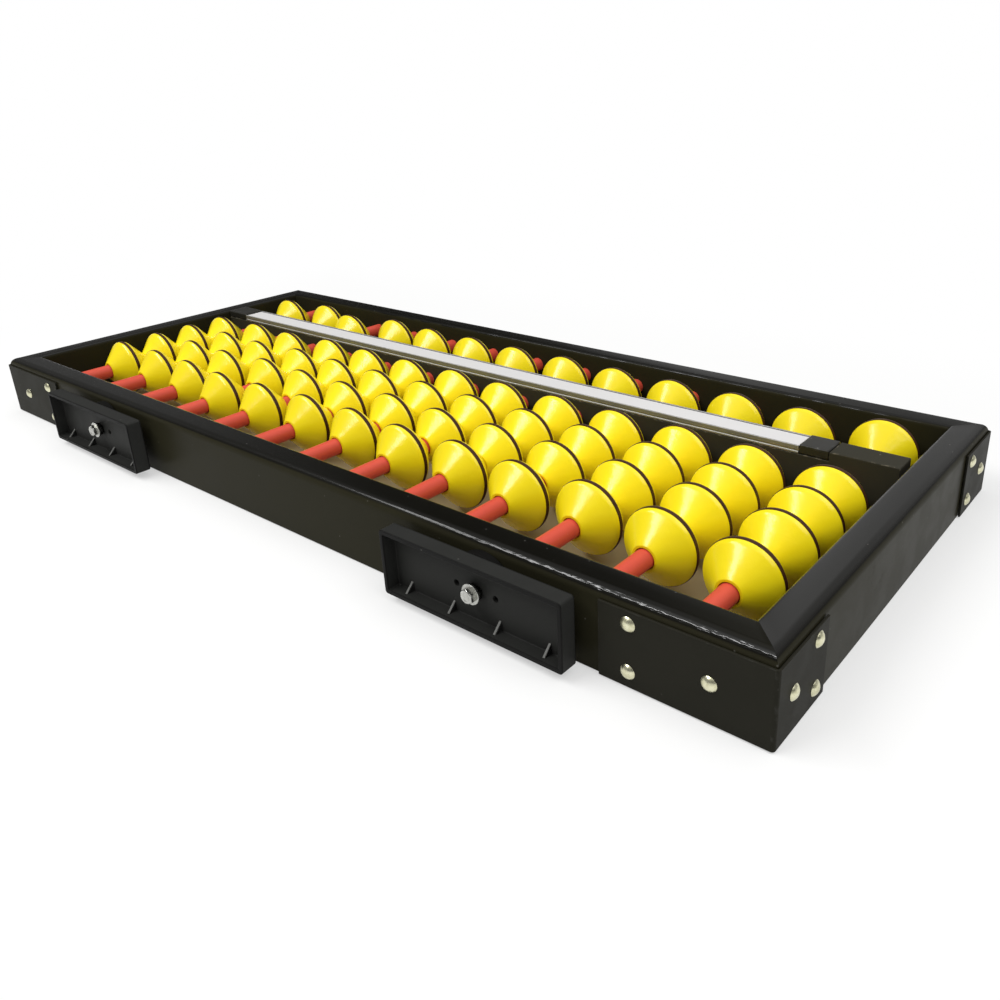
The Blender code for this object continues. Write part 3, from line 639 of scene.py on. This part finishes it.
def halfBeadProfile(radius):
    # From the bore over the flat tip and its small rounding, down a straight cone, round the shoulder and a
    # small edge into the band's groove. The shoulder's arc ends leaning by rimLean, where the edge's arc
    # takes over. Seen from the arc's centre the tip is at angle g and distance d, so a line from the tip
    # touches the arc at the angle g - acos(shoulder / d).
    half, band, round_, edge = beads["thickness"] / 2, beads["band"] / 2, beads["shoulder"], beads["tipEdge"]
    small = beads["rimEdge"]
    lean = math.radians(beads["rimLean"])
    way = np.array([math.cos(lean), math.sin(lean)])
    corner = np.array([radius - beads["rimSink"] - small, band + small])
    centre = corner + (small - round_) * way
    away = np.array([beads["tipRadius"], half]) - centre
    touch = math.atan2(away[1], away[0]) - math.acos(round_ / np.linalg.norm(away))
    shoulder = arcPoints(centre, round_, math.degrees(touch), beads["rimLean"], 16)
    rim = arcPoints(corner, small, beads["rimLean"], -90, 5)[1:]
    lipCentre = (beads["tipRadius"] - edge * (1 - math.sin(touch)) / math.cos(touch), half - edge)
    lip = arcPoints(lipCentre, edge, 90, math.degrees(touch), 4)
    cone = lip[-1] + (shoulder[0] - lip[-1]) * np.linspace(0, 1, 12)[1:-1, None]
    start = np.array([(beads["bore"], half - edge), (beads["bore"] + edge * 0.6, half)])
    groove = np.array([(radius - beads["grooveDepth"], band)])
    return np.concatenate([start, lip, cone, shoulder, rim, groove])


def beadRing(section, x, z, middle):
    return turnedGrid(closeRows(section) + (0, middle), aboutY(x, z), beads["around"])


def beadGrid(x, z, radius, middle):
    # One half's profile and its mirror image, from bore to bore, closed along the bore
    profile = halfBeadProfile(radius)
    return beadRing(np.concatenate([profile, profile[::-1] * (1, -1)]), x, z, middle)


def bandGrid(x, z, radius, middle):
    # A slim ring laid in the groove, its face a shallow arch
    half = beads["band"] / 2
    across = np.linspace(-1, 1, 7)
    face = np.stack([radius - beads["bandSink"] * across ** 2, across * half * 0.98], -1)
    inner = (radius - beads["grooveDepth"] * 0.98, half * 0.98) * np.array([(1, 1), (1, -1)])
    return beadRing(np.concatenate([face, inner]), x, z, middle)


def makeBeads(node, count):
    low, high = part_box(node)
    x, z, radius = nodeAxis(node)
    middles = [(low.y + high.y) / 2 + beads["thickness"] * (i - (count - 1) / 2) for i in range(count)]
    for name, ring, material, slot, stands in (
            ("_yellow", beadGrid, "bead plastic", "bead_yellow", [node]),
            ("_band", bandGrid, "band inlay", "bead_band", ())):
        grids = [ring(x, z, radius, middle) for middle in middles]
        makePiece(node + name, grids, material, node, stands, flats=False)


makeRods()
for rodName in rodNames:
    makeBeads("upper_bead_" + rodName, 1)
    makeBeads("lower_trio_" + rodName, 3)
    makeBeads("front_bead_" + rodName, 1)
print("Rods and beads made")


# Corner covers and their rivets

cover = dict(thickness=0.001, bendRadius=0.0015, edge=0.00022, support=0.0002, longLeg=0.072, shortLeg=0.040,
             bottom=0.0005, height=0.0331)
rivet = dict(radius=0.00325, height=0.0016, heights=(0.028, 0.0073, 0.0173), longLeg=(0.0588, 0.0588, 0.0252),
             shortLeg=(0.0318, 0.0318, 0.0133), around=40)


def coverFrame(end, side):
    # The cover's outer corner: the rivet heads stand out past it, so their height is taken off the node's box
    name = "corner_cover_" + ("back" if side > 0 else "front") + ("_right" if end > 0 else "_left")
    low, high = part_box(name)
    x = high.x - rivet["height"] if end > 0 else low.x + rivet["height"]
    y = high.y - rivet["height"] if side > 0 else low.y + rivet["height"]
    return name, x, y


def makeCover(end, side):
    # An L of sheet metal: its outline is drawn in the ground plane and carried up
    name, x, y = coverFrame(end, side)
    sheet, long, short = cover["thickness"], cover["longLeg"], cover["shortLeg"]
    corners = np.array([(0, 0), (long, 0), (long, sheet), (sheet, sheet), (sheet, short), (0, short)])
    bend, edge = cover["bendRadius"], cover["edge"]
    radii = [bend, edge, edge, bend - sheet, edge, edge]
    corners = corners * (-end, -side) + (x, y)
    outline = roundedOutline(corners, radii, 5, cover["support"])
    top = cover["bottom"] + cover["height"]
    grid = barGrid(outline, alongZ, cover["bottom"], top, edge * 0.95, cover["support"] * 0.5)
    makePiece(name + "_sheet", [grid], "cover paint", "frame", [name])
    makeRivets(name, end, side, x, y)


def rivetProfile():
    # A cap of a sphere. Its radius is (a^2 + h^2) / 2h, with a the head's radius and h its height.
    reach, height = rivet["radius"], rivet["height"]
    sphere = (reach ** 2 + height ** 2) / (2 * height)
    turn = np.linspace(math.asin(reach / sphere), 0, 14)
    cap = np.stack([sphere * np.sin(turn), height - sphere + sphere * np.cos(turn)], -1)
    return np.concatenate([[(0, -0.0004), (reach, -0.0004)], cap])


def headPlace(x, y, outX, outY, z):
    # A head that faces along X has its width along Y, and the other way round
    return lambda across, up, level: np.stack(
        [x + outX * level + abs(outY) * across, y + outY * level + abs(outX) * across, z + up], -1)


def makeRivets(name, end, side, x, y):
    heights = rivet["heights"]
    sites = [(x - end * reach, y, 0, side, z) for reach, z in zip(rivet["longLeg"], heights)]
    sites += [(x, y - side * reach, end, 0, z) for reach, z in zip(rivet["shortLeg"], heights)]
    grids = [turnedGrid(rivetProfile(), headPlace(*site), rivet["around"]) for site in sites]
    makePiece(name + "_rivets", grids, "rivet metal", "frame", flats=False)


for coverEnd in (-1, 1):
    for coverSide in (-1, 1):
        makeCover(coverEnd, coverSide)
print("Covers and rivets made")


# Swivel feet with their spacers, bolts and washers

foot = dict(wall=0.002, cornerRadius=0.0015, innerRadius=0.0008, rimEdge=0.0004, backEdge=0.0006,
            fillet=0.0004, gussetThickness=0.0011, gussetLeg=0.0044, gussetOffsets=(0.01275, 0.03825),
            gussetSink=0.0008, gussetNose=0.0002, gussetEdge=0.0001, boltHole=0.00181, smallHole=0.0015,
            smallHoleOffset=0.01075, holeSteps=24, support=0.0004, floorLip=0.0012)


def roundedRectangle(halfWidth, halfHeight, radius, steps):
    # Four quarter arcs, one a corner, from the right-hand middle round to it again
    parts = [np.array([(halfWidth, 0.0)])]
    for sx, sy, start in ((1, 1, 0), (-1, 1, 90), (-1, -1, 180), (1, -1, 270)):
        centre = (sx * (halfWidth - radius), sy * (halfHeight - radius))
        parts.append(arcPoints(centre, radius, start, start + 90, steps))
        if start == 90:
            parts.append(np.array([(-halfWidth, 0.0)]))
    return np.concatenate(parts)


def trayRows(halfLength, halfHeight, depth):
    # The tray's wall section as (distance in from the outside, level, edge mark): from the floor's inner
    # edge up the inner wall, over the rounded rim, down the outside and round to the back
    wall, rim, back, fillet = foot["wall"], foot["rimEdge"], foot["backEdge"], foot["fillet"]
    support = foot["support"]
    lip = wall + fillet + foot["floorLip"]
    floor = [(lip, -wall), *arcPoints((wall + fillet, -wall - fillet), fillet, 90, 180, 4)]
    inside = [(wall, -depth + rim + support), *arcPoints((wall - rim, -depth + rim), rim, 0, -90, 4)]
    outside = [*arcPoints((rim, -depth + rim), rim, -90, -180, 4), (0.0, -depth + rim + support)]
    behind = [(0.0, -back - support), *arcPoints((back, -back), back, 180, 90, 4), (back + support, 0.0),
              (lip, 0.0)]
    section = np.concatenate([floor, inside, outside, behind])
    # The marks lie on the rounded rim and the rounded back edge, where the foot's colour is darkened as
    # painted shade.
    marks = np.concatenate([np.zeros(len(floor) + 1), np.ones(10), [0, 0], np.ones(5), [0, 0]])
    radii = np.clip(foot["cornerRadius"] - section[:, 0], foot["innerRadius"], None)
    rows = [roundedRectangle(halfLength - d, halfHeight - d, r, 5) for d, r in zip(section[:, 0], radii)]
    return np.stack(rows), section, marks


def holePlate(outline, level, holes):
    # The floor round its holes: two flat polygons, above and below the line through the holes' middles. The
    # outline runs from its right-hand middle round to it again, and its left-hand middle is halfway.
    halfway = len(outline) // 2
    upper, lower = outline[halfway::-1], np.concatenate([outline[halfway:], outline[:1]])
    points, polygons = [], []
    for half, sign in ((upper, 1), (lower, -1)):
        chain = list(half)
        for middle, radius in sorted(holes, key=lambda hole: -hole[0]):
            chain += list(arcPoints((middle, 0), radius, 0, sign * 180, foot["holeSteps"] // 2))
        start = len(points)
        points += chain
        polygons.append(list(range(start, start + len(chain))))
    points = np.array(points)
    return np.stack([points[:, 0], np.full(len(points), level), points[:, 1]], -1), polygons


def footGussets(halfHeight):
    # Triangular props between the floor and the two long walls. Each outline corner has five points, so the
    # sloping front, from the third corner to the fourth, has point 14.5 as its middle. It is marked, and
    # there the colour goes light grey, a painted highlight.
    wall, leg, half = foot["wall"], foot["gussetLeg"], foot["gussetThickness"] / 2
    sink, nose, edge = foot["gussetSink"], foot["gussetNose"], foot["gussetEdge"]
    inner, slopeMiddle, slopeReach = halfHeight - wall, 14.5, 3
    grids = []
    for up in (-1, 1):
        for offset in foot["gussetOffsets"] + tuple(-o for o in foot["gussetOffsets"]):
            corners = [(-wall + sink, up * (inner + sink)), (-wall + sink, up * (inner - leg)),
                       (-wall - nose, up * (inner - leg)), (-wall - leg, up * (inner - nose)),
                       (-wall - leg, up * (inner + sink))]
            points, normals, marks = roundedOutline(corners, edge, 2, edge)
            marks = np.where(np.abs(np.arange(len(marks)) - slopeMiddle) < slopeReach, 1.0, 0.0)
            bar = barGrid((points, normals, marks), alongX, offset - half, offset + half, 2 * edge, edge)
            bar["edge"] = np.broadcast_to(closeRows(marks), bar["points"].shape[:2])
            grids.append(bar)
    return grids


def makeFoot(side):
    node = "foot_" + side
    low, high = (np.array(corner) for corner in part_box(node))
    centre = np.array([(low[0] + high[0]) / 2, high[1], (low[2] + high[2]) / 2])
    halfLength, halfHeight, depth = (high[0] - low[0]) / 2, (high[2] - low[2]) / 2, high[1] - low[1]
    outlines, section, marks = trayRows(halfLength, halfHeight, depth)
    levels = np.broadcast_to(section[:, 1:], outlines.shape[:2])
    shell = closeColumns(alongY(outlines[..., 0], outlines[..., 1], levels)) + centre
    grids = [{"points": shell, "edge": np.broadcast_to(marks[:, None], shell.shape[:2])}]
    aside, small = foot["smallHoleOffset"], foot["smallHole"]
    holes = [(0.0, foot["boltHole"]), (aside, small), (-aside, small)]
    extras = []
    for row, level in ((0, -foot["wall"]), (-1, 0.0)):
        corners, polygons = holePlate(outlines[row], level, holes)
        extras.append((corners + centre, polygons))
    for middle, radius in holes:
        profile = [(radius, -foot["wall"]), (radius, 0.0)]
        place = lambda across, up, level, at=middle: np.stack([at + across, level, up], -1) + centre
        grids.append(turnedGrid(profile, place, foot["holeSteps"]))
    makePiece(node + "_tray", grids, "foot plastic", node, [node], extras=extras)
    props = footGussets(halfHeight)
    for grid in props:
        grid["points"] = grid["points"] + centre
    makePiece(node + "_gussets", props, "gusset plastic", node)


bolt = dict(headFlats=0.006, headHeight=0.0026, washerRadius=0.0047, washerThickness=0.0011,
            washerBore=0.0018, washerEdge=0.00018, shank=0.00175, springOuter=0.0039, springInner=0.0023,
            slitDegrees=8.0, springLift=0.0005, spacerEdge=0.0006, dishDepth=0.00022)


def makeSpacer(side):
    node = "spacer_" + side
    low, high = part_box(node)
    x, z, radius = nodeAxis(node)
    edge = bolt["spacerEdge"]
    outer = np.concatenate([arcPoints((radius - edge, high.y - edge), edge, 90, 0, 4),
                            arcPoints((radius - edge, low.y + edge), edge, 0, -90, 4)])
    inner = np.array([(bolt["washerBore"], low.y), (bolt["washerBore"], high.y)])
    profile = closeRows(np.concatenate([outer, inner]))
    marks = np.concatenate([np.ones(len(outer)), [0, 0, 1]])
    disc = turnedGrid(profile, aboutY(x, z), 96, marks)
    # The disc's near-black finish is a painted shade of the gap behind the foot.
    makePiece(node + "_disc", [disc], "spacer painted-shade plastic", "frame", [node])


def hexHead(x, z, front, height):
    # The radius is the smaller of the hexagon's, apothem / cos(angle from the nearest flat), and the
    # chamfer cone's, which draws in near the top. The top has a shallow round dish.
    turn = np.linspace(0, 2 * math.pi, 73)
    apothem = bolt["headFlats"] / 2
    hexagon = apothem / np.cos((turn + math.pi / 6) % (math.pi / 3) - math.pi / 6)
    share = np.array([0, 0.45, 0.56, 0.62, 0.66, 0.84, 0.90, 0.96, 1.02, 1.09, 1.2, 1.2, 0])
    depth = np.array([1, 1, 0.85, 0.25, 0, 0, 0, 0, 0, 0, 0, 0, 0]) * bolt["dishDepth"]
    depth = depth + np.array([0, 0, 0, 0, 0, 0, 0.00004, 0.00014, 0.00028, 0.00046, 0.0007, height, height])
    radius = np.minimum(share[:, None] * apothem, hexagon[None])
    level = np.broadcast_to(front + depth[:, None], radius.shape)
    points = np.stack([x + radius * np.cos(turn), level, z + radius * np.sin(turn)], -1)
    marks = np.array([0, 0, 0, 0.6, 0.6, 0, 1, 1, 1, 1, 0.3, 0, 0])
    return {"points": points, "edge": np.broadcast_to(marks[:, None], radius.shape)}


def flatRing(x, z, inner, outer, low, high, edge, steps):
    corners = [(inner, low), (outer, low), (outer, high), (inner, high)]
    points, _, marks = roundedOutline(corners, edge, 3, edge)
    return turnedGrid(closeRows(points), aboutY(x, z), steps, closeRows(marks))


def makeBolt(side):
    node = "pivot_bolt_" + side
    low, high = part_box(node)
    springLow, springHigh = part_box("spring_washer_" + side)
    x, z, _ = nodeAxis(node)
    seat, inside = low.y + bolt["headHeight"], low.y + bolt["headHeight"] / 2
    shank = turnedGrid([(0, high.y), (bolt["shank"], high.y - 0.0002), (bolt["shank"], inside), (0, inside)],
                       aboutY(x, z), 36)
    washer = flatRing(x, z, bolt["washerBore"], bolt["washerRadius"], seat, seat + bolt["washerThickness"],
                      bolt["washerEdge"], 60)
    head = hexHead(x, z, low.y, bolt["headHeight"])
    makePiece(node + "_steel", [head, shank, washer], "bolt steel", "frame", [node])
    makeSpringWasher(side, x, z, springLow.y, springHigh.y)


def makeSpringWasher(side, x, z, low, high):
    # A square-edged ring, cut across and lifted at one end: level = middle + lift x share of the turn
    inner, outer = bolt["springInner"], bolt["springOuter"]
    corners = np.array([(inner, -0.5), (outer, -0.5), (outer, 0.5), (inner, 0.5)])
    corners = corners * (1, high - low - bolt["springLift"])
    points, _, marks = roundedOutline(corners, 0.00012, 2, 0.0001)
    points, marks = closeRows(points), closeRows(marks)
    share = np.linspace(0, 1, 61)
    turn = np.radians(60 + bolt["slitDegrees"] + (360 - 2 * bolt["slitDegrees"]) * share)[:, None]
    level = (low + high) / 2 + points[:, 1] + bolt["springLift"] * (share[:, None] - 0.5)
    grid = np.stack([x + points[:, 0] * np.cos(turn), level, z + points[:, 0] * np.sin(turn)], -1)
    coil = {"points": grid, "edge": np.broadcast_to(marks, grid.shape[:2]), "caps": True}
    node = "spring_washer_" + side
    makePiece(node + "_steel", [coil], "spring steel", "frame", [node])


for footSide in ("left", "right"):
    makeFoot(footSide)
    makeSpacer(footSide)
    makeBolt(footSide)
print("Feet, bolts and washers made")


# Floor, light and camera

# The floor's colour within the frame is darkened as a painted shade, with a painted yellow bounce from the
# beads.
stage = dict(
    floorColour=(0.86, 0.86, 0.85), insideShadeColour=(0.31, 0.25, 0.15), size=12.0, level=-0.0002, nearWhite=0.5,
    whiteTo=0.25, glossFrom=0.5, glossTo=1.0, glossTop=0.12, overhead=1.3, riseFrom=0.58,
    wallAxis=(0.35, 0.94, 0.0), walls=((0.05, 0.24), (0.40, 0.12), (0.57, 0.12), (0.66, 0.03), (0.72, 0.05),
                                       (0.75, 0.10), (0.81, 0.62), (0.87, 0.34), (0.93, 0.36)))
lamps = {
    "keyLamp": dict(place=(-0.55, -0.75, 1.15), aim=(0.10, -0.05, 0.0), size=(1.25, 0.22), power=12.8),
    "fillLamp": dict(place=(0.95, -0.15, 1.05), aim=(0.0, 0.0, 0.0), size=(0.9, 0.9), power=6.4)}
camera = dict(place=(0.38504, -0.34340, 0.21471), turn=(67.6863, 1.7656, 38.5356), lens=32.2915,
              shift=(-0.05514, -0.06649))


def makeFloor():
    # A flat sheet, far wider than the view
    size, level = stage["size"], stage["level"]
    corners = [(-size, -size, level), (size, -size, level), (size, size, level), (-size, size, level)]
    mesh = bpy.data.meshes.new("floorSheet")
    mesh.from_pydata(corners, [], [(0, 1, 2, 3)])
    mesh.materials.append(floorMaterial())
    addObject("floorSheet", mesh)


def outsideBy(tree, place, low, high):
    # Distance outside a rectangle, negative within: the larger of |place - middle| - half over X and Y
    parts = []
    for axis, label in enumerate("XY"):
        centred = maths(tree, "SUBTRACT", place.outputs[label], (low[axis] + high[axis]) / 2)
        parts.append(maths(tree, "SUBTRACT", maths(tree, "ABSOLUTE", centred), (high[axis] - low[axis]) / 2))
    return maths(tree, "MAXIMUM", *parts)


def reflectedRay(tree):
    # Two switches: 1 where the camera looks directly, and 1 for what metal and glass show
    path = addNode(tree, "ShaderNodeLightPath").outputs
    return path["Is Camera Ray"], maths(tree, "MAXIMUM", path["Is Glossy Ray"], path["Is Transmission Ray"])


def floorMaterial():
    # A matt sheet, white outside the frame and a dark beige within it, a painted shade of the frame and beads
    # with a painted yellow bounce from them. Outside, what the camera sees is mixed with plain white, share
    # nearWhite beside the frame and all of it further away. Reflections get the same near the object, and
    # fade to the sheet's own colour between glossFrom and glossTo.
    material, tree, shader = newMaterial("pale floor")
    shader.inputs["Roughness"].default_value = 0.8
    shader.inputs["Specular IOR Level"].default_value = 0.1
    place = addNode(tree, "ShaderNodeSeparateXYZ", {0: addNode(tree, "ShaderNodeTexCoord").outputs["Object"]})
    low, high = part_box("left_rail")[0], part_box("right_rail")[1]
    distance = outsideBy(tree, place, low, high)
    within = rangeOf(tree, distance, -0.012, -0.004, 1.0, 0.0)
    tree.links.new(mixColour(tree, within, stage["floorColour"], stage["insideShadeColour"]),
                   shader.inputs["Base Color"])
    beside = rangeOf(tree, distance, -0.012, -0.002, 0.0, stage["nearWhite"])
    share = rangeOf(tree, distance, 0.0, stage["whiteTo"], beside, 1.0)
    camera, mirrored = reflectedRay(tree)
    close = rangeOf(tree, distance, stage["glossFrom"], stage["glossTo"], 1.0, 0.0)
    seen = maths(tree, "MAXIMUM", camera, maths(tree, "MULTIPLY", mirrored, close))
    white = addNode(tree, "ShaderNodeEmission", {"Strength": 1.0})
    mix = addNode(tree, "ShaderNodeMixShader", {
        0: maths(tree, "MULTIPLY", share, seen), 1: shader.outputs[0], 2: white.outputs[0]})
    tree.links.new(mix.outputs[0], tree.nodes["Material Output"].inputs["Surface"])
    return material


def makeWorld():
    # A dim room under a bright ceiling. A wall's brightness follows the stops at (d + 1) / 2, where d is the
    # direction's dot product with wallAxis, and from riseFrom upwards it changes to overhead. The camera sees
    # plain white, and so do reflections close above the floor.
    world = bpy.data.worlds.new("studio")
    scene.world = world
    world.use_nodes = True
    tree = world.node_tree
    direction = addNode(tree, "ShaderNodeTexCoord").outputs["Generated"]
    height = addNode(tree, "ShaderNodeSeparateXYZ", {0: direction}).outputs["Z"]
    facing = addNode(tree, "ShaderNodeVectorMath", {0: direction, 1: stage["wallAxis"]},
                     operation="DOT_PRODUCT")
    walls = addNode(tree, "ShaderNodeValToRGB", {
        0: rangeOf(tree, facing.outputs["Value"], -1.0, 1.0, 0.0, 1.0, "LINEAR")})
    stops = walls.color_ramp.elements
    stops[0].position, stops[1].position = stage["walls"][0][0], stage["walls"][-1][0]
    for place, _ in stage["walls"][1:-1]:
        stops.new(place)
    for stop, (_, brightness) in zip(stops, stage["walls"]):
        stop.color = (brightness, brightness, brightness, 1)
    own = rangeOf(tree, height, stage["riseFrom"], 1.0, walls.outputs[0], stage["overhead"])
    camera, mirrored = reflectedRay(tree)
    low = rangeOf(tree, height, 0.0, stage["glossTop"], 1.0, 0.0)
    seen = maths(tree, "MAXIMUM", camera, maths(tree, "MULTIPLY", mirrored, low))
    background = tree.nodes["Background"]
    background.inputs["Color"].default_value = (1.0, 1.0, 1.0, 1)
    tree.links.new(rangeOf(tree, seen, 0.0, 1.0, own, 1.0), background.inputs["Strength"])


def makeLamps():
    for name, values in lamps.items():
        light = bpy.data.lights.new(name, "AREA")
        light.shape = "RECTANGLE"
        light.size, light.size_y = values["size"]
        light.energy = values["power"]
        lamp = addObject(name, light)
        place, aim = Vector(values["place"]), Vector(values["aim"])
        look = (aim - place).to_track_quat("-Z", "Y").to_matrix().to_4x4()
        lamp.matrix_world = Matrix.Translation(place) @ look


def makeCamera():
    data = bpy.data.cameras.new("photoView")
    data.lens = camera["lens"]
    data.shift_x, data.shift_y = camera["shift"]
    data.clip_start = 0.01
    view = addObject("photoView", data)
    view.location = camera["place"]
    view.rotation_euler = [math.radians(angle) for angle in camera["turn"]]
    scene.camera = view


makeFloor()
makeWorld()
makeLamps()
makeCamera()
scene.view_settings.view_transform = "Standard"
print("Studio made")
